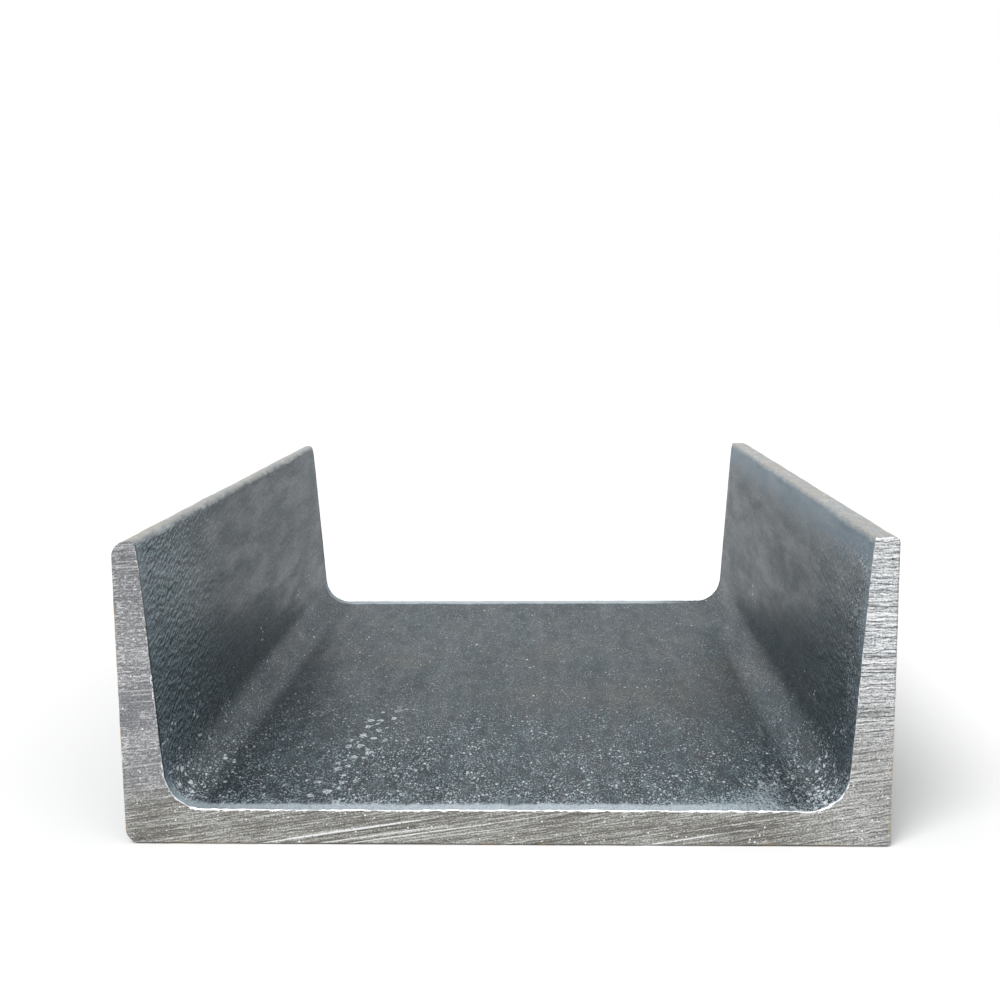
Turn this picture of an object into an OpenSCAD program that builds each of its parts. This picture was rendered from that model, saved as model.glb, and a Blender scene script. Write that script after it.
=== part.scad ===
// Short length of hot-rolled steel C channel, lying on the back of its web.
// X runs across the section, Y along the stock and Z up along the flanges.
// The origin is in the middle of the web's back, half way along the stock.

/* [Section] */
// Depth of the section, from the back of one flange to the back of the other
section_depth = 160; // [100:1:250]
// Width of each flange, from the back of the web to the toe
flange_width = 65; // [45:1:100]
// Thickness of the web
web_thickness = 7.5; // [4:0.1:12]
// Thickness of each flange, half way along its width
flange_thickness = 7.5; // [5:0.1:14]
// Slope of each flange's inner face, in percent
flange_slope = 7; // [0:0.5:10]
// Radius of the fillet between the web and each flange
root_radius = 8.5; // [3:0.1:14]

/* [Left edges] */
// Radius of the left toe's outer edge, which is rolled rounder than the right one
left_toe_outer_radius = 3.6; // [0.4:0.1:5]
// Radius of the left toe's inner edge
left_toe_inner_radius = 1.4; // [0.3:0.1:3]
// Radius of the left heel, between the backs of the web and the flange
left_heel_radius = 3; // [0.4:0.1:6]

/* [Right edges] */
// Radius of the right toe's outer edge
right_toe_outer_radius = 1.2; // [0.4:0.1:5]
// Radius of the right toe's inner edge
right_toe_inner_radius = 0.7; // [0.3:0.1:3]
// Radius of the right heel, between the backs of the web and the flange
right_heel_radius = 0.9; // [0.4:0.1:6]

/* [Stock] */
// Length that the stock is sawn to
stock_length = 200; // [50:5:6000]

/* [Hidden] */
$fn = 96;

// Colour of the rolled faces' mill scale
steel_colour = [0.40, 0.43, 0.46];
// How far a corner's piece reaches past the two edges that it joins
corner_reach = 1;
// How far an arc passes its tangent edges, so that it meets them at a clean point
arc_overlap = 0.001;
// Most of the toe's thickness that its outer and inner edge may round off
toe_outer_share = 0.7;
toe_inner_share = 0.28;
// Most of the web's thickness that a heel may round off
heel_share = 0.9;

left = -1;
right = 1;
half_depth = section_depth / 2;
toe_thickness = flange_thickness_at(flange_width);
root_thickness = flange_thickness_at(web_thickness);

// Thickness of a flange at a height over the back of the web
function flange_thickness_at(height) =
    flange_thickness + flange_slope / 100 * (flange_width / 2 - height);

// Unit vector along v
function unit(v) = v / norm(v);

// The point that lies beyond tip, on the line to it from start
function past(start, tip) = tip + unit(tip - start) * corner_reach;

// The four sharp corners of the flange on one side
function heel(side) = [side * half_depth, 0];
function toe_outer(side) = [side * half_depth, flange_width];
function toe_inner(side) = [side * (half_depth - toe_thickness), flange_width];
function root(side) = [side * (half_depth - root_thickness), web_thickness];

// What lies between a sharp corner and the arc that is tangent to both its edges.
// The edges run from the corner towards the points a and b.
module corner_piece(corner, a, b, radius) {
    along_a = unit(a - corner);
    along_b = unit(b - corner);
    half_angle = acos(along_a * along_b) / 2;
    centre = corner + unit(along_a + along_b) * radius / sin(half_angle);
    touch_a = corner + along_a * radius / tan(half_angle);
    touch_b = corner + along_b * radius / tan(half_angle);
    difference() {
        polygon([centre, past(centre, touch_a), past(centre, corner), past(centre, touch_b)]);
        translate(centre) circle(r = radius + arc_overlap);
    }
}

// The trough between the flanges, open at the top, with a fillet in each root
module trough() {
    difference() {
        polygon([
            root(left), root(right),
            past(root(right), toe_inner(right)), past(root(left), toe_inner(left))
        ]);
        corner_piece(root(left), root(right), toe_inner(left), root_radius);
        corner_piece(root(right), root(left), toe_inner(right), root_radius);
    }
}

// What rolling takes off the three outer corners of one flange
module rolled_edges(side, toe_outer_radius, toe_inner_radius, heel_radius) {
    outer_radius = min(toe_outer_radius, toe_outer_share * toe_thickness);
    inner_radius = min(toe_inner_radius, toe_inner_share * toe_thickness);
    corner_piece(toe_outer(side), heel(side), toe_inner(side), outer_radius);
    corner_piece(toe_inner(side), toe_outer(side), root(side), inner_radius);
    corner_piece(heel(side), heel(-side), toe_outer(side), min(heel_radius, heel_share * web_thickness));
}

// The rolled section, with the web along X and the flanges standing up along Y
module section() {
    difference() {
        polygon([heel(left), heel(right), toe_outer(right), toe_outer(left)]);
        trough();
        rolled_edges(left, left_toe_outer_radius, left_toe_inner_radius, left_heel_radius);
        rolled_edges(right, right_toe_outer_radius, right_toe_inner_radius, right_heel_radius);
    }
}

// The stock, sawn square at both ends
module c_channel() {
    color(steel_colour)
        rotate([90, 0, 0])
            linear_extrude(height = stock_length, center = true)
                section();
}

c_channel();
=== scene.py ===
"""A short length of hot-rolled C channel: mill scale, two saw-cut ends and the burr that the saw left.

Sizes are in metres, in the part's own frame: X across the section, Y along the stock and Z up.
"""

import math
from types import SimpleNamespace

import bpy
import numpy as np
from mathutils import Matrix, Vector
from mathutils.geometry import delaunay_2d_cdt
from mathutils.kdtree import KDTree


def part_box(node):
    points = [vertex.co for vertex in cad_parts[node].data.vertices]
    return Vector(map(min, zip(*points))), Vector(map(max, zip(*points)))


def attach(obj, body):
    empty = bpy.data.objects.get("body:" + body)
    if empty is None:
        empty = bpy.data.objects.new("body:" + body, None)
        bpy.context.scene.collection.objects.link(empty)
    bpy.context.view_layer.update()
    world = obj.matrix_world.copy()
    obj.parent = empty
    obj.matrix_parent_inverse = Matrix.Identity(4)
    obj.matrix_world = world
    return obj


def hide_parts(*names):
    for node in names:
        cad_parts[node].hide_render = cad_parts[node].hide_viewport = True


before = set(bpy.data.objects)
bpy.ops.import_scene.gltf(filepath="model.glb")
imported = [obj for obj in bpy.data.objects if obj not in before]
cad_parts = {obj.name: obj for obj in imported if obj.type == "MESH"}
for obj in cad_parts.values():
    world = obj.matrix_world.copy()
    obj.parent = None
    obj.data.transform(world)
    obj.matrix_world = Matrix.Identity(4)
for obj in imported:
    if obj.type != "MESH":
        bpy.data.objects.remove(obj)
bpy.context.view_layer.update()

NODE = "c_channel"
MM = 0.001
LEFT, RIGHT = -1, 1
FRONT, REAR = -1, 1

# The rolled section
low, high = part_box(NODE)
HALF_DEPTH = (high[0] - low[0]) / 2
HALF_LENGTH = (high[1] - low[1]) / 2
FLANGE_WIDTH = high[2] - low[2]
WEB_THICKNESS = 7.5 * MM
FLANGE_THICKNESS = 7.5 * MM
FLANGE_SLOPE = 0.07
ROOT_RADIUS = 8.5 * MM
HEEL_RADIUS = {LEFT: 3.0 * MM, RIGHT: 0.9 * MM}
TOE_OUTER_RADIUS = {LEFT: 3.6 * MM, RIGHT: 1.2 * MM}
TOE_INNER_RADIUS = {LEFT: 1.4 * MM, RIGHT: 0.7 * MM}

# Faces of the section in the order of its outline: each corner's arc, then the straight face after it
(HEEL_L, BACK, HEEL_R, OUTER_R, TOE_OUT_R, TOE_R, TOE_IN_R, INNER_R,
 ROOT_R, WEB, ROOT_L, INNER_L, TOE_IN_L, TOE_L, TOE_OUT_L, OUTER_L) = range(16)

# Mesh spacing on the rolled faces, round the sawn edges and across the sawn ends
ROLLED_STEP = 1.25 * MM
BACK_STEP = 5.0 * MM
EDGE_STEP = 0.5 * MM
SAWN_STEP = (0.75 * MM, 0.3 * MM)
SAWN_MARGIN = 0.22 * MM
FEWEST_ARC_STEPS = 4

# Relief of the rolled faces: depths and cells of the peel, roll streaks, waves and the toes' scallops
PEEL_DEPTH, PEEL_CELL, FINE_PEEL_CELL = 0.035 * MM, 2.6 * MM, 1.4 * MM
STREAK_DEPTH, STREAK_CELL = 0.02 * MM, (4 * MM, 70 * MM, 4 * MM)
WAVE_DEPTH, WAVE_CELL = 0.05 * MM, (22 * MM, 34 * MM, 22 * MM)
SCALLOP_DEPTH, SCALLOP_CELL = 0.16 * MM, (8 * MM, 9 * MM, 60 * MM)

# The sawn edge: bevel of the outer edges, height of the burr and how far the edge reaches along the stock
BEVEL = 0.22 * MM
BURR_HEIGHT = 0.22 * MM
EDGE_REACH = 1.6 * MM

# How far the crest and the foot of the edge lie behind the end plane where there is no bevel or burr
CREST_BACK = 0.08 * MM
FOOT_BACK = 0.16 * MM


def flange_thickness_at(height):
    """Thickness of a flange at a height over the back of the web."""
    return FLANGE_THICKNESS + FLANGE_SLOPE * (FLANGE_WIDTH / 2 - height)


def smooth(edge_0, edge_1, value):
    """0 before edge_0, 1 after edge_1 and a smooth rise between them."""
    t = np.clip((value - edge_0) / (edge_1 - edge_0), 0, 1)
    return t * t * (3 - 2 * t)


def lattice(cells, seed):
    """A fixed random number from -1 to 1 for each whole-number cell."""
    mixed = seed * 2654435761
    for axis, prime in enumerate((374761393, 668265263, 2246822519)):
        mixed = mixed + cells[..., axis] * prime
    mixed = mixed & 0xFFFFFFFF
    mixed = ((mixed ^ (mixed >> 13)) * 1274126177) & 0xFFFFFFFF
    return ((mixed ^ (mixed >> 16)) & 0xFFFF) / 32767.5 - 1


def noise(points, cell, seed):
    """Smooth noise from -1 to 1 at points, with cells of the size given, for each axis if it is a tuple."""
    scaled = np.asarray(points, float) / np.asarray(cell, float)
    whole = np.floor(scaled).astype(np.int64)
    part = scaled - whole
    part = part * part * (3 - 2 * part)
    total = np.zeros(len(scaled))
    for corner in np.ndindex(2, 2, 2):
        weight = np.prod(np.where(corner, part, 1 - part), axis=1)
        total += weight * lattice(whole + np.array(corner), seed)
    return total


def unit(vector):
    return vector / np.linalg.norm(vector)


def section_corners():
    """The sharp corners of the section with their radii, counter-clockwise as seen from the front."""
    toe = HALF_DEPTH - flange_thickness_at(FLANGE_WIDTH)
    root = HALF_DEPTH - flange_thickness_at(WEB_THICKNESS)
    return [
        ((-HALF_DEPTH, 0), HEEL_RADIUS[LEFT]),
        ((HALF_DEPTH, 0), HEEL_RADIUS[RIGHT]),
        ((HALF_DEPTH, FLANGE_WIDTH), TOE_OUTER_RADIUS[RIGHT]),
        ((toe, FLANGE_WIDTH), TOE_INNER_RADIUS[RIGHT]),
        ((root, WEB_THICKNESS), ROOT_RADIUS),
        ((-root, WEB_THICKNESS), ROOT_RADIUS),
        ((-toe, FLANGE_WIDTH), TOE_INNER_RADIUS[LEFT]),
        ((-HALF_DEPTH, FLANGE_WIDTH), TOE_OUTER_RADIUS[LEFT]),
    ]


def rounded_corner(before, corner, after, radius):
    """Centre, both tangent points and the outward sign of the arc that rounds a corner."""
    along_in, along_out = unit(before - corner), unit(after - corner)
    half = math.acos(np.dot(along_in, along_out)) / 2
    centre = corner + unit(along_in + along_out) * radius / math.sin(half)
    reach = radius / math.tan(half)
    turn = np.cross(corner - before, after - corner)
    return centre, corner + along_in * reach, corner + along_out * reach, math.copysign(1, turn)


def section_outline(step, back_step):
    """Points, outward normals and faces round the section, about a step apart."""
    sharp = section_corners()
    places = [np.array(corner, float) for corner, _ in sharp]
    arcs = [
        rounded_corner(places[i - 1], places[i], places[(i + 1) % len(places)], radius)
        for i, (_, radius) in enumerate(sharp)
    ]
    points, normals, faces = [], [], []
    for i, (centre, start, end, sign) in enumerate(arcs):
        radius = sharp[i][1]
        first = math.atan2(*(start - centre)[::-1])
        turn = math.atan2(*(end - centre)[::-1]) - first
        turn = (turn + math.pi) % (2 * math.pi) - math.pi
        steps = max(FEWEST_ARC_STEPS, math.ceil(abs(turn) * radius / step))
        for angle in first + turn * np.arange(steps) / steps:
            outward = np.array([math.cos(angle), math.sin(angle)])
            points.append(centre + outward * radius)
            normals.append(outward * sign)
            faces.append(2 * i)
        line = arcs[(i + 1) % len(arcs)][1] - end
        length = np.linalg.norm(line)
        steps = math.ceil(length / (back_step if 2 * i + 1 == BACK else step))
        for share in np.arange(steps) / steps:
            points.append(end + line * share)
            normals.append(np.array([line[1], -line[0]]) / length)
            faces.append(2 * i + 1)
    return np.array(points), np.array(normals), np.array(faces)


def relief(points, faces):
    """How far the rolled face stands off the true section: either way in the trough, inwards outside."""
    peel = 0.6 * noise(points, PEEL_CELL, 11) + 0.4 * noise(points, FINE_PEEL_CELL, 12)
    streak = noise(points, STREAK_CELL, 13)
    wave = noise(points, WAVE_CELL, 14)
    height = PEEL_DEPTH * peel + STREAK_DEPTH * streak + WAVE_DEPTH * wave
    in_trough = (faces >= INNER_R) & (faces <= INNER_L)
    near_toe = smooth(FLANGE_WIDTH - 9 * MM, FLANGE_WIDTH - 2 * MM, points[:, 2])
    sunk = np.where(in_trough, near_toe, 1.0)
    scallop = 0.5 + 0.5 * noise(points, SCALLOP_CELL, 15)
    at_toe = smooth(FLANGE_WIDTH - 3 * MM, FLANGE_WIDTH - 0.5 * MM, points[:, 2])
    return height - sunk * (PEEL_DEPTH + STREAK_DEPTH + WAVE_DEPTH) - at_toe * SCALLOP_DEPTH * scallop


def rolled_ring(outline, y):
    """The outline at a station along the stock, with the relief of the rolled faces."""
    flat, normals, faces = outline
    ring = np.column_stack([flat[:, 0], np.full(len(flat), y), flat[:, 1]])
    out = relief(ring, faces)
    ring[:, 0] += normals[:, 0] * out
    ring[:, 2] += normals[:, 1] * out
    return ring


# Saw lines: their slopes on the web, and at the foot and the top of each flange
WEB_SLOPE = math.tan(math.radians(9))
FLANGE_SLOPES = {LEFT: (math.tan(math.radians(8)), math.tan(math.radians(3))),
                 RIGHT: (math.tan(math.radians(10)), math.tan(math.radians(1)))}
FLANGE_START = 66 * MM
SAW_DEPTH = 0.03 * MM
COARSE_SAW_DEPTH = 0.05 * MM

# Layers of the fine saw lines: weight, length, spacing and seed
FINE_SAW_LINES = ((0.5, 26 * MM, 1.1 * MM, 21), (0.35, 15 * MM, 0.65 * MM, 31), (0.15, 9 * MM, 0.4 * MM, 41))


def saw_coordinates(x, z):
    """Where a point of a sawn end lies along the saw lines and across them."""
    climb = WEB_SLOPE * np.clip(x, -FLANGE_START, FLANGE_START)
    for side, (foot, top) in FLANGE_SLOPES.items():
        slope = foot + (top - foot) * smooth(10 * MM, 40 * MM, z)
        climb = climb + side * slope * np.maximum(side * x - FLANGE_START, 0)
    return x, z - climb


def silver_share(x, z):
    """How bright the sawn end is: brightest up the right flange."""
    return smooth(58 * MM, 73 * MM, x) * (0.3 + 0.7 * smooth(12 * MM, 44 * MM, z))


def saw_depth(x, z, side):
    """How deep the saw has cut below the end plane."""
    along, across = saw_coordinates(x, z)
    flat = np.column_stack([along, across, np.zeros(len(along))])
    fine = sum(weight * noise(flat, (length, spacing, 1), seed + side)
               for weight, length, spacing, seed in FINE_SAW_LINES)
    coarse = noise(flat, (30 * MM, 1.7 * MM, 1), 51 + side)
    silver = silver_share(x, z)
    fine_cut = SAW_DEPTH * (1 - fine) / 2 * (1 + silver)
    coarse_cut = COARSE_SAW_DEPTH * (1 - coarse) / 2 * (0.35 + 0.65 * silver)
    return fine_cut + coarse_cut


def next_share(places, i):
    """The share of the outline at which the point after point i lies; 1 is its end, and 2 is past that."""
    if i + 1 < len(places):
        return places[i + 1]
    return 1.0 if i < len(places) else 2.0


class MeshParts:
    """Collects rings and faces of the closed channel mesh."""

    def __init__(self):
        self.points = []
        self.count = 0
        self.faces = []
        self.materials = []
        self.sharp = set()
        self.rim = {}

    def add(self, points):
        first = self.count
        self.points.append(points)
        self.count += len(points)
        return np.arange(first, self.count)

    def face(self, corners, material):
        self.faces.append([int(c) for c in corners])
        self.materials.append(material)

    def join(self, ring_a, ring_b, side, material):
        """Quads between two rings of as many points, ring_a being the nearer to that end."""
        ahead_a, ahead_b = np.roll(ring_a, -1), np.roll(ring_b, -1)
        for a, b, c, d in zip(ring_a, ring_b, ahead_b, ahead_a):
            self.face((a, b, c, d) if side == FRONT else (d, c, b, a), material)

    def bridge(self, fine, fine_at, coarse, coarse_at, side, material):
        """Triangles between two rings of different point counts, by their shares of the outline."""
        i, j = 0, 0
        while i < len(fine) or j < len(coarse):
            a, b = fine[i % len(fine)], coarse[j % len(coarse)]
            if next_share(fine_at, i) <= next_share(coarse_at, j):
                i += 1
                third = fine[i % len(fine)]
            else:
                j += 1
                third = coarse[j % len(coarse)]
            self.face((a, b, third) if side == FRONT else (third, b, a), material)

    def mark_sharp(self, ring):
        self.sharp.update(zip(ring.tolist(), np.roll(ring, -1).tolist()))


SCALE, SAWN = 0, 1


def shares(outline):
    """Each point's share of the way round the outline."""
    flat = outline[0]
    steps = np.linalg.norm(np.roll(flat, -1, axis=0) - flat, axis=1)
    return np.concatenate([[0], np.cumsum(steps)[:-1]]) / steps.sum()


def burr_heights(ring, faces):
    """Height of the burr round the trough's edge: most on the web and the roots, little up the flanges."""
    x, z = ring[:, 0], ring[:, 2]
    inner = (faces >= INNER_R) & (faces <= INNER_L)
    left = 1 - 0.5 * smooth(10 * MM, 22 * MM, z)
    right = 1 - 0.75 * smooth(11 * MM, 18 * MM, z)
    below_toe = 1 - smooth(FLANGE_WIDTH - 2.5 * MM, FLANGE_WIDTH - 0.8 * MM, z)
    size = np.where(x < 0, left, right) * below_toe * inner
    ragged = 0.6 + 0.35 * noise(ring, (0.9 * MM,) * 3, 61) + 0.25 * noise(ring, (4 * MM,) * 3, 62)
    spike = smooth(0.72, 0.9, noise(ring, (1.3 * MM,) * 3, 64))
    return BURR_HEIGHT * size * (np.clip(ragged, 0.3, 1.1) + 0.6 * spike)


def sawn_edge(parts, side, outline):
    """The three rings of one sawn edge, from the end plane to the rolled faces."""
    flat, normals, faces = outline
    end = side * HALF_LENGTH
    inward = -side
    on_face = rolled_ring(outline, end)
    burr = burr_heights(on_face, faces)
    bevel = BEVEL * (1 + 0.4 * noise(on_face, (3 * MM,) * 3, 63)) * ((faces < INNER_R) | (faces > INNER_L))
    cut = on_face.copy()
    cut[:, 0] -= normals[:, 0] * bevel
    cut[:, 2] -= normals[:, 1] * bevel
    cut[:, 1] = end + inward * saw_depth(cut[:, 0], cut[:, 2], side)
    crest = on_face.copy()
    crest[:, 0] += normals[:, 0] * burr
    crest[:, 2] += normals[:, 1] * burr
    crest[:, 1] = end + inward * (CREST_BACK + bevel + 0.8 * burr)
    foot = rolled_ring(outline, end + inward * EDGE_REACH * 0.5)
    foot[:, 1] = end + inward * (FOOT_BACK + 1.2 * bevel + 1.9 * burr)
    rings = [parts.add(ring) for ring in (cut, crest, foot)]
    chipped = np.clip(0.5 + 0.6 * noise(on_face, (0.8 * MM,) * 3, 65), 0, 1)
    # How much of the burr is painted white as a highlight, chipped along the cut
    white = np.minimum(burr / BURR_HEIGHT * 3, 1)
    parts.rim.update(zip(rings[1].tolist(), white))
    parts.rim.update(zip(rings[0].tolist(), white * chipped))
    parts.join(rings[0], rings[1], side, SAWN)
    parts.join(rings[1], rings[2], side, SCALE)
    parts.mark_sharp(rings[0])
    parts.mark_sharp(rings[1])
    return cut, rings[0], rings[2]


def sawn_end(parts, side, edge, edge_ids, normals):
    """The flat of one end, on rows that follow the saw lines closely."""
    tree = KDTree(len(edge))
    for i, place in enumerate(edge):
        tree.insert((place[0], 0, place[2]), i)
    tree.balance()
    step_x, step_z = SAWN_STEP
    inner = []
    for row, z in enumerate(np.arange(step_z / 2, FLANGE_WIDTH, step_z)):
        for x in np.arange(-HALF_DEPTH + step_x * (row % 2) / 2, HALF_DEPTH, step_x):
            near, i, _ = tree.find((x, 0, z))
            depth = (near[0] - x) * normals[i][0] + (near[2] - z) * normals[i][1]
            if depth > SAWN_MARGIN:
                inner.append((x, z))
    inner = np.array(inner)
    cut = side * (HALF_LENGTH - saw_depth(inner[:, 0], inner[:, 1], side))
    inner_ids = parts.add(np.column_stack([inner[:, 0], cut, inner[:, 1]]))
    ids = np.concatenate([edge_ids, inner_ids])
    flat = [Vector((p[0] / MM, p[2] / MM)) for p in edge] + [Vector(p / MM) for p in inner]
    found = delaunay_2d_cdt(flat, [], [list(range(len(edge)))], 1, 1e-6)
    origins = found[3]
    for corners in found[2]:
        face = [ids[origins[c][0]] for c in corners]
        parts.face(face if side == FRONT else face[::-1], SAWN)


def channel_parts():
    """The whole channel as one closed mesh: rolled faces, two sawn edges and two sawn ends."""
    parts = MeshParts()
    coarse = section_outline(ROLLED_STEP, BACK_STEP)
    fine = section_outline(EDGE_STEP, EDGE_STEP)
    coarse_at, fine_at = shares(coarse), shares(fine)
    last = HALF_LENGTH - EDGE_REACH
    stations = np.linspace(-last, last, math.ceil(2 * last / ROLLED_STEP) + 1)
    rings = [parts.add(rolled_ring(coarse, y)) for y in stations]
    for ahead, behind in zip(rings, rings[1:]):
        parts.join(ahead, behind, FRONT, SCALE)
    for side, ring in ((FRONT, rings[0]), (REAR, rings[-1])):
        edge, edge_ids, foot = sawn_edge(parts, side, fine)
        parts.bridge(foot, fine_at, ring, coarse_at, side, SCALE)
        sawn_end(parts, side, edge, edge_ids, fine[1])
    return parts


def build_channel():
    """The channel's object, with the coordinates and shares that its materials read."""
    parts = channel_parts()
    points = np.concatenate(parts.points)
    mesh = bpy.data.meshes.new("rolled_channel")
    mesh.from_pydata(points.tolist(), [], parts.faces)
    mesh.polygons.foreach_set("material_index", parts.materials)
    mesh.polygons.foreach_set("use_smooth", [True] * len(parts.faces))
    sharp = {tuple(sorted(edge)) for edge in parts.sharp}
    ends = np.empty(len(mesh.edges) * 2, dtype=np.int64)
    mesh.edges.foreach_get("vertices", ends)
    ends = np.sort(ends.reshape(-1, 2), axis=1)
    marks = mesh.attributes.new("sharp_edge", "BOOLEAN", "EDGE")
    marks.data.foreach_set("value", [tuple(pair) in sharp for pair in ends.tolist()])
    along, across = saw_coordinates(points[:, 0], points[:, 2])
    saw = mesh.attributes.new("saw", "FLOAT_VECTOR", "POINT")
    saw.data.foreach_set("vector", np.column_stack([along, across, points[:, 1]]).ravel())
    silver = mesh.attributes.new("silver", "FLOAT", "POINT")
    silver.data.foreach_set("value", silver_share(points[:, 0], points[:, 2]))
    # Rim share, for the burr's painted highlight
    rim = np.zeros(len(points))
    rim[list(parts.rim)] = list(parts.rim.values())
    mesh.attributes.new("rim", "FLOAT", "POINT").data.foreach_set("value", rim)
    mesh.update()
    channel = bpy.data.objects.new("rolled_channel", mesh)
    bpy.context.scene.collection.objects.link(channel)
    return channel


class NodeTree:
    """A node tree, built up from small steps."""

    def __init__(self, tree):
        self.tree = tree

    def add(self, kind, inputs=(), **settings):
        """A node with its settings, and its inputs set by name or number to a value or a socket."""
        made = self.tree.nodes.new(kind)
        for key, value in settings.items():
            setattr(made, key, value)
        for key, value in dict(inputs).items():
            self.put(made.inputs[key], value)
        return made

    def put(self, socket, value):
        if isinstance(value, bpy.types.NodeSocket):
            self.tree.links.new(value, socket)
        else:
            socket.default_value = value

    def math(self, operation, a, b=0.0, c=0.0):
        return self.add("ShaderNodeMath", {0: a, 1: b, 2: c}, operation=operation).outputs[0]


class Shader(NodeTree):
    """A material's node tree."""

    def __init__(self, name):
        self.material = bpy.data.materials.new(name)
        self.material.use_nodes = True
        super().__init__(self.material.node_tree)
        self.surface = self.tree.nodes["Principled BSDF"]

    def step(self, value, start, end, low_value=0.0, high_value=1.0):
        """A smooth rise from low_value to high_value as value goes from start to end."""
        made = self.add("ShaderNodeMapRange", {"Value": value}, interpolation_type="SMOOTHSTEP")
        made.inputs["From Min"].default_value = start
        made.inputs["From Max"].default_value = end
        made.inputs["To Min"].default_value = low_value
        made.inputs["To Max"].default_value = high_value
        return made.outputs["Result"]

    def mapped(self, vector, **settings):
        """A vector turned by Rotation or stretched by Scale."""
        return self.add("ShaderNodeMapping", {"Vector": vector, **settings}).outputs[0]

    def moved(self, vector, shift):
        """A vector moved by another one."""
        return self.add("ShaderNodeVectorMath", {0: vector, 1: shift}).outputs[0]

    def noise(self, vector, cell, detail=2.0, roughness=0.55):
        """Noise from 0 to 1 with cells of the size given, along each axis if it is a tuple."""
        sizes = cell if isinstance(cell, tuple) else (cell,) * 3
        scaled = self.mapped(vector, Scale=[1 / s for s in sizes])
        inputs = {"Vector": scaled, "Scale": 1.0, "Detail": detail, "Roughness": roughness}
        return self.add("ShaderNodeTexNoise", inputs).outputs["Fac"]

    def slope(self, vector, cell, shift, detail=2.0, roughness=0.55):
        """How far noise falls from each place to one a shift away: relief as light shows it."""
        here = self.noise(vector, cell, detail, roughness)
        away = self.noise(self.moved(vector, shift), cell, detail, roughness)
        return self.math("SUBTRACT", here, away)

    def weigh(self, *terms):
        """The sum of sockets, each times its weight."""
        total = self.math("MULTIPLY", *terms[0])
        for value, weight in terms[1:]:
            total = self.math("ADD", total, self.math("MULTIPLY", value, weight))
        return total

    def product(self, *factors):
        """The product of sockets."""
        total = factors[0]
        for factor in factors[1:]:
            total = self.math("MULTIPLY", total, factor)
        return total

    def blend(self, share, a, b):
        """The number a, or b where share is 1."""
        return self.math("ADD", a, self.math("MULTIPLY", share, self.math("SUBTRACT", b, a)))

    def specks(self, vector, cell, threshold, spread, hollow=0.0, space="3D"):
        """Specks of random size, hollow or full: one in each cell whose number passes the threshold."""
        inputs = {"Vector": vector, "Scale": 1 / cell}
        cells = self.add("ShaderNodeTexVoronoi", inputs, voronoi_dimensions=space)
        pick = self.add("ShaderNodeSeparateColor", {0: cells.outputs["Color"]}).outputs[0]
        size = self.math("MULTIPLY", self.math("SUBTRACT", pick, threshold), spread)
        within = self.math("SUBTRACT", size, cells.outputs["Distance"])
        full = self.step(within, -0.07, 0.04)
        if not hollow:
            return full
        return self.math("MULTIPLY", full, self.step(within, 0.04, 0.12, 1.0, 1.0 - hollow))

    def mix(self, share, a, b):
        made = self.add("ShaderNodeMix", data_type="RGBA")
        for key, value in ((0, share), (6, a), (7, b)):
            self.put(made.inputs[key], value)
        return made.outputs[2]

    def ramp(self, value, stops):
        made = self.add("ShaderNodeValToRGB", {"Fac": value})
        elements = made.color_ramp.elements
        while len(elements) < len(stops):
            elements.new(0.5)
        for element, (place, colour) in zip(elements, stops):
            element.position = place
            element.color = (*colour, 1)
        return made.outputs["Color"]

    def attribute(self, name, output="Fac"):
        return self.add("ShaderNodeAttribute", attribute_name=name).outputs[output]

    def finish(self, inputs):
        for key, value in inputs.items():
            self.put(self.surface.inputs[key], value)
        return self.material


def colour(red, green, blue):
    """A colour written as it shows, from 0 to 255, in the renderer's own scale."""
    def linear(value):
        value = value / 255
        return value / 12.92 if value <= 0.04045 else ((value + 0.055) / 1.055) ** 2.4
    return tuple(linear(value) for value in (red, green, blue))


def solid(red, green, blue):
    return (*colour(red, green, blue), 1)


# Colours of the mill scale
SCALE_DARK, SCALE_MID, SCALE_PALE = colour(24, 34, 40), colour(43, 57, 64), colour(70, 88, 96)
# Painted shade for the peel's pits and a painted highlight for its ridges
PEEL_PIT_SHADE, PEEL_RIDGE_HIGHLIGHT = solid(5, 8, 10), solid(138, 158, 165)
OUTER_DARK, OUTER_PALE = solid(66, 73, 78), solid(88, 95, 100)
GRAIN_DARK, GRAIN_PALE = solid(8, 12, 16), solid(176, 192, 201)
# Pale grey blooms, and painted light for the front of the left flange
BLOOM_GREY, FLANGE_FRONT_LIGHT = solid(112, 130, 134), solid(96, 120, 132)
# Pale flakes of scale, and painted glints
SPECK_AND_GLINT_PALE = solid(230, 237, 242)
# A brown haze, low down deep in the trough
BROWN_HAZE = solid(84, 70, 52)
# Worn blue scale up the left root, also used as painted light near the toes and along the front of the
# flanges
RUBBED_AND_LIT_BLUE = solid(112, 134, 149)
BURNISHED, FROSTED = solid(194, 206, 214), solid(172, 187, 196)
# Painted shadow cast by the burr
BURR_SHADOW_DARK = solid(8, 12, 15)
BARE_COOL, BARE_WARM, BARE_TAN = solid(152, 160, 164), solid(178, 172, 162), solid(164, 150, 130)
BARE_PALE = solid(206, 211, 214)

# How far the peel on the flanges leans from the stock's length
PEEL_LEAN = math.radians(19)

# Where the scale changes: from the web to a flange, up a flange's foot and below the outer faces
ROOT_SIDE = (62 * MM, 69 * MM)
FLANGE_FOOT = (9 * MM, 20 * MM)
OUTER_SKIN = (1.5 * MM, 4 * MM)

# The trail of hollow specks: where it starts on the web, its drift along the stock, half width and length
TRAIL_START, TRAIL_DRIFT = -40 * MM, 0.12
TRAIL_HALF_WIDTH = (5.5 * MM, 3.5 * MM)
TRAIL_LENGTH = (80 * MM, 60 * MM)


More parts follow.
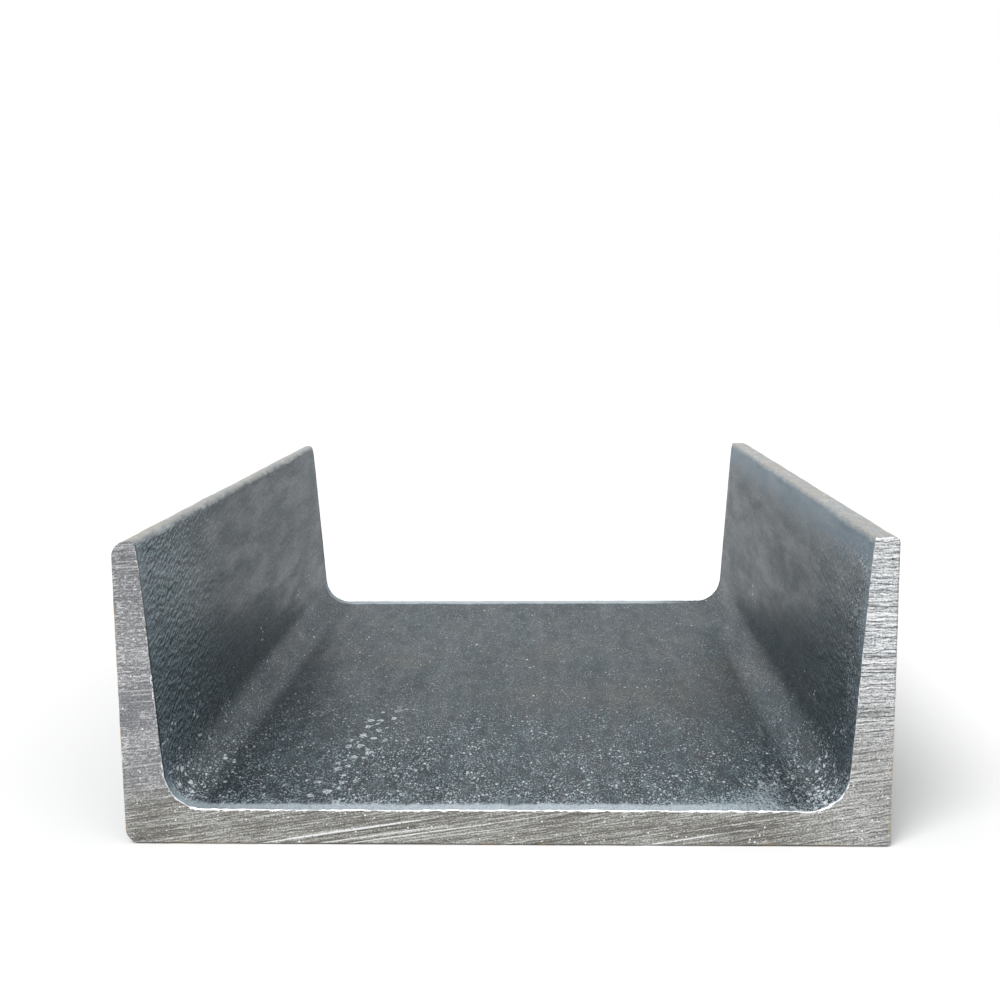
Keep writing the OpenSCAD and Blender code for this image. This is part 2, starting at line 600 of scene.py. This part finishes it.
def scale_patterns(shader):
    """What the layers of the scale share: places on the channel and noise, drawn out along the stock."""
    at = SimpleNamespace()
    at.place = shader.add("ShaderNodeTexCoord").outputs["Object"]
    at.x, at.y, at.z = shader.add("ShaderNodeSeparateXYZ", {0: at.place}).outputs
    at.from_front = shader.math("ADD", at.y, HALF_LENGTH)
    at.from_end = shader.math("SUBTRACT", HALF_LENGTH, shader.math("ABSOLUTE", at.y))
    at.from_side = shader.math("SUBTRACT", HALF_DEPTH, shader.math("ABSOLUTE", at.x))
    at.inside = shader.step(shader.math("MINIMUM", at.z, at.from_side), *OUTER_SKIN)
    at.flange = shader.step(at.z, *FLANGE_FOOT)
    at.left = shader.step(at.x, *(-place for place in ROOT_SIDE))
    at.right = shader.step(at.x, *ROOT_SIDE)
    at.cloud = shader.noise(at.place, 38 * MM, 3)
    at.patch = shader.noise(at.place, (8 * MM, 40 * MM, 8 * MM), 3, 0.6)
    at.mottle = shader.noise(at.place, (5 * MM, 24 * MM, 5 * MM), 5, 0.65)
    at.blotch = shader.noise(at.place, (1.7 * MM, 5 * MM, 1.7 * MM), 2)
    # The peel's relief as light from one side shows it, for its painted shade and highlights
    leaning = shader.mapped(at.place, Rotation=(-PEEL_LEAN, 0, 0))
    peel_cell, peel_shift = (0.85 * MM, 2.3 * MM, 0.85 * MM), (0.0, 0.23 * MM, 0.35 * MM)
    at.peel = shader.slope(leaning, peel_cell, peel_shift, 3, 0.6)
    at.grain = shader.noise(at.place, (0.38 * MM, 0.8 * MM, 0.38 * MM), 2, 0.75)
    return at


def scale_body(shader, at):
    """The scale itself: cloudy, peeled on the flanges with painted shade in the peel's pits and painted
    highlights on its ridges, and grainy in patches on the web.
    """
    streak = shader.noise(at.place, (4 * MM, 80 * MM, 4 * MM), 2)
    tone = shader.weigh((at.cloud, 0.18), (streak, 0.1), (at.patch, 0.24), (at.mottle, 0.26),
                        (at.blotch, 0.22))
    base = shader.ramp(tone, [(0.38, SCALE_DARK), (0.5, SCALE_MID), (0.62, SCALE_PALE)])
    # Even deep inside, with a brown haze low down, and painted light at the front of the left flange,
    # lighter and bluer there
    deep = shader.product(shader.step(at.from_front, 35 * MM, 90 * MM, 0.0, 0.65),
                          shader.step(at.flange, 0.0, 1.0, 0.5, 1.0))
    base = shader.mix(deep, base, (*SCALE_MID, 1))
    haze = shader.product(shader.step(at.cloud, 0.5, 0.62, 0.0, 0.25), shader.step(at.z, 20 * MM, 12 * MM),
                          shader.step(at.from_end, 45 * MM, 85 * MM), at.inside)
    base = shader.mix(haze, base, BROWN_HAZE)
    lit = shader.product(shader.step(at.from_front, 50 * MM, 5 * MM, 0.0, 0.5), at.left, at.flange,
                         at.inside)
    base = shader.mix(lit, base, FLANGE_FRONT_LIGHT)
    # Peel on the flanges, sharpest near the front end and inside: painted shade in its pits and painted
    # highlights on its ridges
    at.peeled = shader.product(at.flange, shader.step(at.from_front, 12 * MM, 70 * MM, 1.0, 0.2),
                               shader.step(at.inside, 0.0, 1.0, 0.25, 1.0),
                               shader.step(at.x, 0.0, 60 * MM, 1.0, 0.5))
    pit = shader.product(shader.step(at.peel, -0.02, -0.09), at.peeled)
    base = shader.mix(pit, base, PEEL_PIT_SHADE)
    ridge = shader.product(shader.step(at.peel, 0.02, 0.13, 0.0, 0.95), at.peeled)
    base = shader.mix(ridge, base, PEEL_RIDGE_HIGHLIGHT)
    # Pale and dark grain, crowded in patches and thickest near the front end
    far = shader.weigh((at.from_front, 1.0), (at.cloud, 90 * MM))
    crowd = shader.noise(at.place, (4 * MM, 9 * MM, 4 * MM), 3, 0.6)
    upright = shader.product(shader.step(at.from_front, 28 * MM, 8 * MM, 0.0, 0.7), at.right)
    low_down = shader.step(at.z, 12 * MM, 30 * MM, 1.0, 0.25)
    at.frost = shader.product(shader.step(far, 130 * MM, 45 * MM, 0.5, 1.0),
                              shader.math("MAXIMUM", low_down, upright),
                              shader.step(crowd, 0.36, 0.54, 0.4, 1.0),
                              shader.step(at.inside, 0.0, 1.0, 0.4, 1.0))
    bloom = shader.product(shader.step(at.blotch, 0.55, 0.7, 0.0, 0.3), at.inside,
                           shader.step(at.from_front, 80 * MM, 30 * MM),
                           shader.step(at.z, 12 * MM, 9 * MM))
    base = shader.mix(bloom, base, BLOOM_GREY)
    near_front = shader.step(at.from_front, 12 * MM, 3 * MM, 0.0, 0.05)
    pale = shader.product(shader.step(shader.math("ADD", at.grain, near_front), 0.53, 0.65), at.frost)
    base = shader.mix(pale, base, GRAIN_PALE)
    dark = shader.product(shader.step(at.grain, 0.48, 0.34, 0.0, 0.85), at.frost)
    return shader.mix(dark, base, GRAIN_DARK)


def scale_specks(shader, at, base):
    """Pale specks, partly pale flakes and partly painted glints: fine grains, clusters by the roots, strokes
    up the flanges, a hollow trail, and painted highlights in dimples.
    """
    wobble = shader.add("ShaderNodeTexNoise", {"Vector": at.place, "Scale": 1 / (0.8 * MM), "Detail": 1.0})
    shift = shader.add("ShaderNodeVectorMath", {0: wobble.outputs["Color"], 1: (0.8 * MM,) * 3},
                       operation="MULTIPLY").outputs[0]
    ragged = shader.moved(at.place, shift)
    torn = shader.mapped(shader.moved(ragged, shift), Scale=(1.0, 0.75, 1.0))
    drawn = shader.mapped(ragged, Scale=(1.0, 0.5, 1.0))
    stretched = shader.mapped(ragged, Scale=(1.0, 0.26, 1.0))
    rare = shader.step(at.frost, 0.0, 1.0, 0.88, 0.32)
    fine = shader.specks(drawn, 0.85 * MM, rare, 0.52)
    # Clusters, thick where the web meets the flanges
    cluster = shader.noise(at.place, 13 * MM, 2)
    near_root = shader.product(shader.step(shader.math("ABSOLUTE", at.x), 56 * MM, 64 * MM),
                               shader.step(at.z, 26 * MM, 16 * MM),
                               shader.step(at.from_front, 60 * MM, 25 * MM, 0.0, 0.46))
    often = shader.math("SUBTRACT", shader.step(cluster, 0.5, 0.66, 0.95, 0.5), near_root)
    often = shader.math("ADD", often, shader.step(at.z, 22 * MM, 34 * MM, 0.0, 0.25))
    coarse = shader.product(shader.specks(drawn, 1.15 * MM, often, 0.52), at.inside)
    # Strokes up the flanges, near the front
    right = shader.product(at.right, shader.step(at.z, 14 * MM, 22 * MM, 0.0, 0.6))
    left = shader.product(at.left, shader.step(at.z, 11 * MM, 16 * MM), shader.step(at.z, 40 * MM, 26 * MM))
    upwards = shader.product(shader.step(at.from_front, 26 * MM, 8 * MM), shader.math("ADD", left, right))
    sparse = shader.step(upwards, 0.0, 1.0, 0.95, 0.5)
    strokes = shader.product(shader.specks(stretched, 0.72 * MM, sparse, 0.7),
                             shader.step(at.blotch, 0.36, 0.5), at.inside)
    # The trail along the web, left of its middle, and painted highlights in the dimples of the right root
    aside = shader.weigh((at.x, 1.0), (at.from_front, -TRAIL_DRIFT), (-TRAIL_START, 1.0))
    aside = shader.math("ABSOLUTE", aside)
    trail = shader.product(shader.specks(torn, 2.9 * MM, 0.3, 0.46, 0.6, "2D"),
                           shader.step(at.grain, 0.3, 0.52, 0.35, 1.0),
                           shader.step(aside, *TRAIL_HALF_WIDTH),
                           shader.step(at.from_front, *TRAIL_LENGTH),
                           shader.step(at.z, 9 * MM, 8.5 * MM), at.inside)
    # Painted highlights: bright spots and rings where dimples in the right root catch the light
    dimple_glints = shader.product(shader.specks(drawn, 0.85 * MM, -0.1, 0.5),
                             shader.step(at.from_front, 27 * MM, 12 * MM),
                             shader.step(at.x, 52 * MM, 59 * MM), shader.step(at.z, 10.8 * MM, 9 * MM),
                             shader.step(at.mottle, 0.38, 0.5), at.inside)
    at.raised = shader.math("MULTIPLY", fine, 0.75)
    for speck, share in ((coarse, 0.85), (strokes, 0.9), (trail, 0.95), (dimple_glints, 0.95)):
        at.raised = shader.math("MAXIMUM", at.raised, shader.math("MULTIPLY", speck, share))
    return shader.mix(at.raised, base, SPECK_AND_GLINT_PALE)


def scale_edges(shader, at, base):
    """By the sawn ends: a burnished band, a blue strip up the left root and a frosted patch on the right."""
    ragged = shader.noise(at.place, (5 * MM, 40 * MM, 5 * MM), 5, 0.7)
    edge = shader.weigh((at.from_end, 1.0), (ragged, 5 * MM), (at.grain, 2.2 * MM))
    band = shader.product(shader.step(edge, 8.2 * MM, 6.4 * MM),
                          shader.step(at.z, 8.5 * MM, 16 * MM, 0.9, 0.0),
                          shader.step(at.x, -68 * MM, -60 * MM, 0.4, 1.0),
                          shader.step(at.x, 40 * MM, 66 * MM, 1.0, 0.0),
                          shader.step(at.grain, 0.36, 0.56, 0.72, 1.0), at.inside)
    reach = shader.weigh((at.from_front, 1.0), (at.x, -0.7), (at.mottle, 28 * MM))
    patch = shader.product(shader.step(reach, -5 * MM, -14 * MM),
                           shader.step(at.x, 24 * MM, 36 * MM, 0.0, 0.85),
                           shader.step(at.x, 55 * MM, 62 * MM, 1.0, 0.0), shader.step(at.grain, 0.42, 0.52),
                           shader.step(at.z, 13 * MM, 10 * MM), at.inside)
    strip = shader.product(shader.step(edge, 6.8 * MM, 5.4 * MM, 0.0, 0.75),
                           shader.step(at.z, 22 * MM, 13 * MM),
                           shader.step(at.x, -60 * MM, -66 * MM), at.inside)
    base = shader.mix(strip, base, RUBBED_AND_LIT_BLUE)
    base = shader.mix(patch, base, FROSTED)
    return shader.mix(band, base, BURNISHED)


def scale_outside(shader, at, base):
    """The outer faces: plainer and greyer than the trough."""
    plain = shader.mix(shader.step(at.mottle, 0.28, 0.72), OUTER_DARK, OUTER_PALE)
    return shader.mix(shader.step(at.inside, 0.0, 1.0, 0.88, 0.0), base, plain)


def scale_flanges(shader, at, base):
    """The flanges: worn blue scale with painted light near the toes and along the front, a painted shadow
    behind the left burr, and bare, tan-rimmed toes.
    """
    # Painted light, with some worn scale: the top of the right flange's inside and the upper front edges of
    # both flanges painted lighter and bluer
    top = shader.weigh((at.z, 1.0), (at.mottle, 12 * MM))
    by_toe = shader.step(top, FLANGE_WIDTH - 6 * MM, FLANGE_WIDTH + 4 * MM, 0.0, 0.7)
    rubbed_and_lit = shader.product(by_toe, at.right)
    front = shader.step(shader.weigh((at.from_end, 1.0), (at.mottle, 6 * MM)), 9 * MM, 4 * MM, 0.0, 0.45)
    upper = shader.math("MAXIMUM", shader.product(shader.step(at.z, 22 * MM, 50 * MM), at.right),
                        shader.step(at.z, 26 * MM, 58 * MM, 0.0, 0.8))
    front = shader.math("MULTIPLY", front, upper)
    rubbed_and_lit = shader.math("MULTIPLY", shader.math("MAXIMUM", rubbed_and_lit, front), at.inside)
    base = shader.mix(rubbed_and_lit, base, RUBBED_AND_LIT_BLUE)
    # Painted shadow: a dark line just behind the burr, up the left flange and root
    burr_shadow = shader.product(shader.step(at.from_front, 1.5 * MM, 1.0 * MM, 0.0, 0.85), at.left, at.inside,
                         shader.step(at.z, 9 * MM, 16 * MM))
    base = shader.mix(burr_shadow, base, BURR_SHADOW_DARK)
    crown = shader.weigh((at.z, 1.0), (at.mottle, 2.4 * MM), (at.blotch, 1.2 * MM))
    worn = shader.step(crown, FLANGE_WIDTH + 0.1 * MM, FLANGE_WIDTH + 1.3 * MM, 0.0, 0.92)
    patina = shader.weigh((at.mottle, 0.5), (at.blotch, 0.3), (at.grain, 0.2))
    on_top = shader.step(at.z, FLANGE_WIDTH - 0.8 * MM, FLANGE_WIDTH - 0.3 * MM)
    warm = shader.product(shader.step(patina, 0.4, 0.58), on_top)
    bare = shader.mix(warm, BARE_COOL, BARE_WARM)
    bare = shader.mix(shader.step(at.blotch, 0.54, 0.68, 0.0, 0.4), bare, BARE_PALE)
    bare = shader.mix(shader.step(at.grain, 0.5, 0.66, 0.0, 0.45), bare, BARE_PALE)
    bare = shader.mix(shader.step(at.grain, 0.48, 0.32, 0.0, 0.4), bare, BARE_TAN)
    from_rim = shader.weigh((at.from_side, 1.0), (at.blotch, 1.0 * MM))
    rim = shader.product(shader.step(from_rim, 1.0 * MM, 0.6 * MM),
                         shader.step(at.mottle, 0.42, 0.56, 0.1, 0.6))
    return shader.mix(worn, base, shader.mix(rim, bare, BARE_TAN))


def mill_scale():
    """Dark blue-grey scale with pale specks, a burnished band along the sawn edges and worn toes."""
    shader = Shader("mill_scale")
    at = scale_patterns(shader)
    base = scale_body(shader, at)
    base = scale_specks(shader, at, base)
    base = scale_edges(shader, at, base)
    base = scale_outside(shader, at, base)
    base = scale_flanges(shader, at, base)
    height = shader.weigh((shader.math("MULTIPLY", at.blotch, at.peeled), 0.2),
                          (shader.math("MULTIPLY", at.grain, at.frost), 0.12), (at.raised, 0.06))
    bump = shader.add("ShaderNodeBump", {"Height": height, "Strength": 1.0, "Distance": MM})
    rough = shader.step(at.mottle, 0.3, 0.7, 0.37, 0.5)
    return shader.finish({"Base Color": base, "Metallic": 0.5, "Roughness": rough,
                          "Specular IOR Level": 0.25, "Normal": bump.outputs[0]})


# Colours of the sawn steel
SAWN_DARK, SAWN_MID, SAWN_PALE = colour(76, 77, 74), colour(134, 135, 131), colour(222, 224, 222)
# Silver up the right flange; its ramp also carries painted light and shade on the ridges
SILVER_DARK, SILVER_MID, SILVER_PALE = colour(100, 104, 108), colour(184, 187, 190), colour(250, 251, 252)
SAWN_WARM, SAWN_COOL = solid(156, 150, 141), solid(152, 153, 163)
# The dark one serves both dark scratches and painted shade in deep grooves
SCRATCH_PALE, SCRATCH_WHITE, SCRATCH_AND_SHADE_DARK = solid(228, 230, 230), solid(248, 249, 250), solid(92, 92, 90)
GLINT_WHITE = solid(252, 252, 252)
EDGE_RUST, EDGE_SHADE = solid(172, 148, 114), solid(84, 88, 94)
# The burr's painted highlight, and the dark of one pit
BURR_HIGHLIGHT_WHITE, PIT_DARK = solid(248, 250, 252), solid(20, 22, 24)
PIT_PLACE, PIT_RADIUS = (78.4 * MM, -HALF_LENGTH, 60.5 * MM), 0.3 * MM


def sawn_patterns(shader):
    """What the layers of the sawn steel share: places on the ends, and noise along the saw lines."""
    at = SimpleNamespace()
    third = 50 * MM
    at.saw = shader.attribute("saw", "Vector")
    at.silver = shader.attribute("silver")
    at.place = shader.add("ShaderNodeTexCoord").outputs["Object"]
    at.x, _, at.z = shader.add("ShaderNodeSeparateXYZ", {0: at.place}).outputs
    at.left = shader.product(shader.step(at.x, -62 * MM, -71 * MM), shader.step(at.z, 6 * MM, 16 * MM))
    from_side = shader.math("SUBTRACT", HALF_DEPTH, shader.math("ABSOLUTE", at.x))
    at.from_edge = shader.math("MINIMUM", at.z, from_side)
    sway = shader.math("SUBTRACT", shader.noise(at.saw, (2.6 * MM, 1.6 * MM, third), 2), 0.5)
    sway = shader.math("MULTIPLY", sway, shader.step(at.silver, 0.0, 0.6, 0.2 * MM, 0.9 * MM))
    sway = shader.add("ShaderNodeCombineXYZ", {1: sway}).outputs[0]
    swayed = shader.moved(at.saw, sway)
    at.grain = shader.noise(at.saw, (0.4 * MM, 0.32 * MM, third), 1, 0.7)
    at.fleck = shader.noise(at.saw, (1.2 * MM, 0.42 * MM, third), 1, 0.6)
    at.fine = shader.noise(at.saw, (2.6 * MM, 0.32 * MM, third), 1, 0.6)
    at.short = shader.noise(at.saw, (11 * MM, 0.38 * MM, third), 1, 0.5)
    at.line = shader.noise(swayed, (30 * MM, 0.45 * MM, third), 1, 0.6)
    at.long = shader.noise(at.saw, (60 * MM, 0.62 * MM, third), 1, 0.5)
    # Painted light and shade: the saw ridges' relief as light from one side shows it
    at.wavy = shader.slope(swayed, (10 * MM, 0.8 * MM, third), (0.0, 0.16 * MM, 0.0), 2, 0.5)
    at.rippled = shader.slope(swayed, (4 * MM, 0.42 * MM, third), (0.0, 0.1 * MM, 0.0), 1, 0.5)
    at.ridge = shader.noise(swayed, (45 * MM, 0.65 * MM, third), 1, 0.5)
    at.patches = shader.noise(at.saw, (14 * MM, 6 * MM, third), 2)
    return at


def sawn_body(shader, at):
    """Grey steel: lined on the web, grainy up the left flange, silvery up the right one with painted light
    and shade on its wavy ridges and painted shade in its deep grooves.
    """
    lined = shader.weigh((at.grain, 0.34), (at.fine, 0.22), (at.line, 0.32), (at.patches, 0.12))
    grainy = shader.weigh((at.grain, 0.38), (at.fleck, 0.2), (at.fine, 0.1), (at.line, 0.12),
                          (at.patches, 0.2))
    at.tone = shader.blend(at.left, lined, grainy)
    grey = shader.ramp(at.tone, [(0.41, SAWN_DARK), (0.5, SAWN_MID), (0.6, SAWN_PALE)])
    tint = shader.mix(at.left, SAWN_WARM, SAWN_COOL)
    grey = shader.mix(shader.step(at.left, 0.0, 1.0, 0.25, 0.42), grey, tint)
    outer = shader.step(at.from_edge, 2.6 * MM, 0.8 * MM, 0.0, 0.1)
    chipped = shader.step(shader.math("ADD", at.fleck, outer), 0.6, 0.7, 0.0, 0.6)
    flecks = shader.product(chipped, at.left, shader.step(at.patches, 0.38, 0.56))
    grey = shader.mix(flecks, grey, SCRATCH_PALE)
    # Silver tone, with the painted light and shade of the ridges mixed in
    relief_share = shader.step(at.patches, 0.35, 0.6, 0.5, 1.1)
    bright_tone = shader.weigh((at.grain, 0.36), (at.fleck, 0.24), (at.fine, 0.2), (at.ridge, 0.2),
                               (shader.math("MULTIPLY", at.wavy, relief_share), 0.72), (at.rippled, 0.5))
    bright = shader.ramp(bright_tone, [(0.37, SILVER_DARK), (0.48, SILVER_MID), (0.6, SILVER_PALE)])
    base = shader.mix(at.silver, grey, bright)
    # Painted shade: dark lines along deep grooves up the silvery right flange
    groove_shade = shader.product(shader.step(at.ridge, 0.35, 0.28, 0.0, 0.7), shader.step(at.silver, 0.4, 0.9))
    return shader.mix(groove_shade, base, SCRATCH_AND_SHADE_DARK)


def sawn_scratches(shader, at, base):
    """Many short scratches, a few long bright ones, some dark ones and glints, all broken by the grain."""
    short = shader.product(shader.step(at.short, 0.61, 0.69, 0.0, 0.6), shader.step(at.grain, 0.34, 0.5))
    base = shader.mix(short, base, SCRATCH_PALE)
    on_web = shader.step(shader.math("ABSOLUTE", at.x), 64 * MM, 72 * MM, 1.0, 0.4)
    long = shader.product(shader.step(at.long, 0.65, 0.71, 0.0, 0.9), shader.step(at.grain, 0.25, 0.42),
                          on_web)
    base = shader.mix(long, base, SCRATCH_WHITE)
    nick = shader.product(shader.step(at.short, 0.37, 0.29, 0.0, 0.55),
                          shader.step(at.left, 0.0, 1.0, 1.0, 0.4),
                          shader.step(at.silver, 0.0, 0.3, 1.0, 0.5))
    base = shader.mix(nick, base, SCRATCH_AND_SHADE_DARK)
    return shader.mix(shader.specks(at.saw, 1.0 * MM, 0.58, 0.45), base, GLINT_WHITE)


def sawn_edges(shader, at, base):
    """Rust and shade along the outer edges, the burr painted white as a highlight, and one dark pit near the
    right toe.
    """
    fringe = shader.step(shader.weigh((at.from_edge, 1.0), (at.grain, 0.9 * MM)), 1.15 * MM, 0.5 * MM)
    stain = shader.noise(at.place, 9 * MM, 3)
    rust = shader.product(fringe, shader.step(stain, 0.5, 0.6, 0.0, 0.9),
                          shader.step(at.silver, 0.3, 0.8, 1.0, 0.0))
    base = shader.mix(rust, base, EDGE_RUST)
    shade = shader.product(fringe, shader.step(at.silver, 0.5, 0.9, 0.0, 0.6))
    base = shader.mix(shade, base, EDGE_SHADE)
    # Painted highlight: the burr painted white where it catches the light, broken into dots up the left
    # flange
    up_left = shader.product(at.left, shader.step(at.z, 12 * MM, 22 * MM))
    dots = shader.blend(up_left, 1.0, shader.step(at.grain, 0.44, 0.54))
    burr = shader.product(shader.step(shader.attribute("rim"), 0.25, 0.5), dots)
    base = shader.mix(burr, base, BURR_HIGHLIGHT_WHITE)
    from_pit = shader.add("ShaderNodeVectorMath", {0: at.place, 1: PIT_PLACE}, operation="DISTANCE")
    from_pit = from_pit.outputs["Value"]
    return shader.mix(shader.step(from_pit, PIT_RADIUS, PIT_RADIUS / 2), base, PIT_DARK)


def sawn_steel():
    """Bare grey steel with saw lines, brighter up the right flange with painted light and shade on its
    ridges, and a burr painted white as a highlight.
    """
    shader = Shader("sawn_steel")
    at = sawn_patterns(shader)
    base = sawn_body(shader, at)
    base = sawn_scratches(shader, at, base)
    base = sawn_edges(shader, at, base)
    height = shader.weigh((at.fine, 0.04), (at.grain, 0.04), (shader.product(at.ridge, at.silver), 0.1))
    bump = shader.add("ShaderNodeBump", {"Height": height, "Strength": 0.7, "Distance": MM})
    rough = shader.step(at.tone, 0.35, 0.65, 0.52, 0.34)
    return shader.finish({"Base Color": base, "Metallic": 0.8, "Roughness": rough,
                          "Normal": bump.outputs[0]})


# Light: the sky's level for diffuse light, and its share behind the camera
SKY_LEVEL = 0.6
FRONT_LEVEL = 0.3

# Lamps: name, direction, strength and spread in degrees
LAMPS = (("key", (0.4, 0.6, -1.0), 1.9, 30), ("fill", (-0.6, 0.8, -0.6), 0.6, 50))


def studio_floor():
    """A plain white floor."""
    half = 8.0
    below = 0.05 * MM
    mesh = bpy.data.meshes.new("floor")
    corners = [(-half, -half, -below), (half, -half, -below), (half, half, -below), (-half, half, -below)]
    mesh.from_pydata(corners, [], [(0, 1, 2, 3)])
    floor = bpy.data.objects.new("floor", mesh)
    bpy.context.scene.collection.objects.link(floor)
    shader = Shader("floor_white")
    path = shader.add("ShaderNodeLightPath").outputs
    seen = shader.math("MAXIMUM", path["Is Camera Ray"],
                       shader.math("MAXIMUM", path["Is Glossy Ray"], path["Is Transmission Ray"]))
    tint = shader.mix(seen, (0.9, 0.9, 0.9, 1), (1, 1, 1, 1))
    mesh.materials.append(shader.finish({"Base Color": tint, "Roughness": 1.0, "Specular IOR Level": 0.0}))


def studio_world():
    """White to the camera; as light, bright overhead and behind the object, and dim behind the camera."""
    world = bpy.data.worlds.new("studio")
    bpy.context.scene.world = world
    world.use_nodes = True
    nodes = NodeTree(world.node_tree)

    def between(value, start, end, low_value, high_value):
        inputs = {"Value": value, "From Min": start, "From Max": end,
                  "To Min": low_value, "To Max": high_value}
        return nodes.add("ShaderNodeMapRange", inputs).outputs["Result"]

    path = nodes.add("ShaderNodeLightPath").outputs
    towards = nodes.add("ShaderNodeTexCoord").outputs["Generated"]
    _, away, up = nodes.add("ShaderNodeSeparateXYZ", {0: towards}).outputs
    level = nodes.math("MAXIMUM", between(away, -0.7, 0.3, FRONT_LEVEL, 1.0),
                       between(up, 0.3, 0.9, 0.0, 1.0))
    diffuse = nodes.math("MULTIPLY", level, SKY_LEVEL)
    glossy = between(path["Is Glossy Ray"], 0.0, 1.0, diffuse, level)
    direct = nodes.math("MAXIMUM", path["Is Camera Ray"], path["Is Transmission Ray"])
    background = nodes.tree.nodes["Background"]
    background.inputs["Color"].default_value = (1, 1, 1, 1)
    nodes.put(background.inputs["Strength"], between(direct, 0.0, 1.0, glossy, 1.0))


def sun(name, towards, strength, spread):
    """A soft lamp that shines along towards, as wide as spread in degrees."""
    light = bpy.data.lights.new(name, "SUN")
    light.energy = strength
    light.angle = math.radians(spread)
    lamp = bpy.data.objects.new(name, light)
    lamp.rotation_euler = Vector(towards).to_track_quat("-Z", "Y").to_euler()
    bpy.context.scene.collection.objects.link(lamp)


# The camera, from the photograph's edges: focal length in pixels, place and turn
IMAGE_SIDE = 1000
FOCAL_PIXELS = 1273.2
CAMERA_PLACE = (9.62 * MM, -253.09 * MM - HALF_LENGTH, 108.35 * MM)
CAMERA_YAW, CAMERA_PITCH, CAMERA_ROLL = (math.radians(a) for a in (2.189, 7.985, -0.625))
SENSOR = 36.0


def photo_camera():
    data = bpy.data.cameras.new("photo_camera")
    data.sensor_width = SENSOR
    data.lens = FOCAL_PIXELS / IMAGE_SIDE * SENSOR
    data.clip_start = 0.01
    camera = bpy.data.objects.new("photo_camera", data)
    level = Matrix.Rotation(math.radians(90), 4, "X")
    yaw = Matrix.Rotation(CAMERA_YAW, 4, "Z")
    pitch = Matrix.Rotation(-CAMERA_PITCH, 4, "X")
    roll = Matrix.Rotation(CAMERA_ROLL, 4, "Z")
    camera.matrix_world = Matrix.Translation(CAMERA_PLACE) @ yaw @ level @ pitch @ roll
    bpy.context.scene.collection.objects.link(camera)
    bpy.context.scene.camera = camera


channel = build_channel()
channel.data.materials.append(mill_scale())
channel.data.materials.append(sawn_steel())
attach(channel, "root")
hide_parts(NODE)

studio_floor()
studio_world()
for lamp in LAMPS:
    sun(*lamp)
photo_camera()
bpy.context.scene.view_settings.view_transform = "Standard"
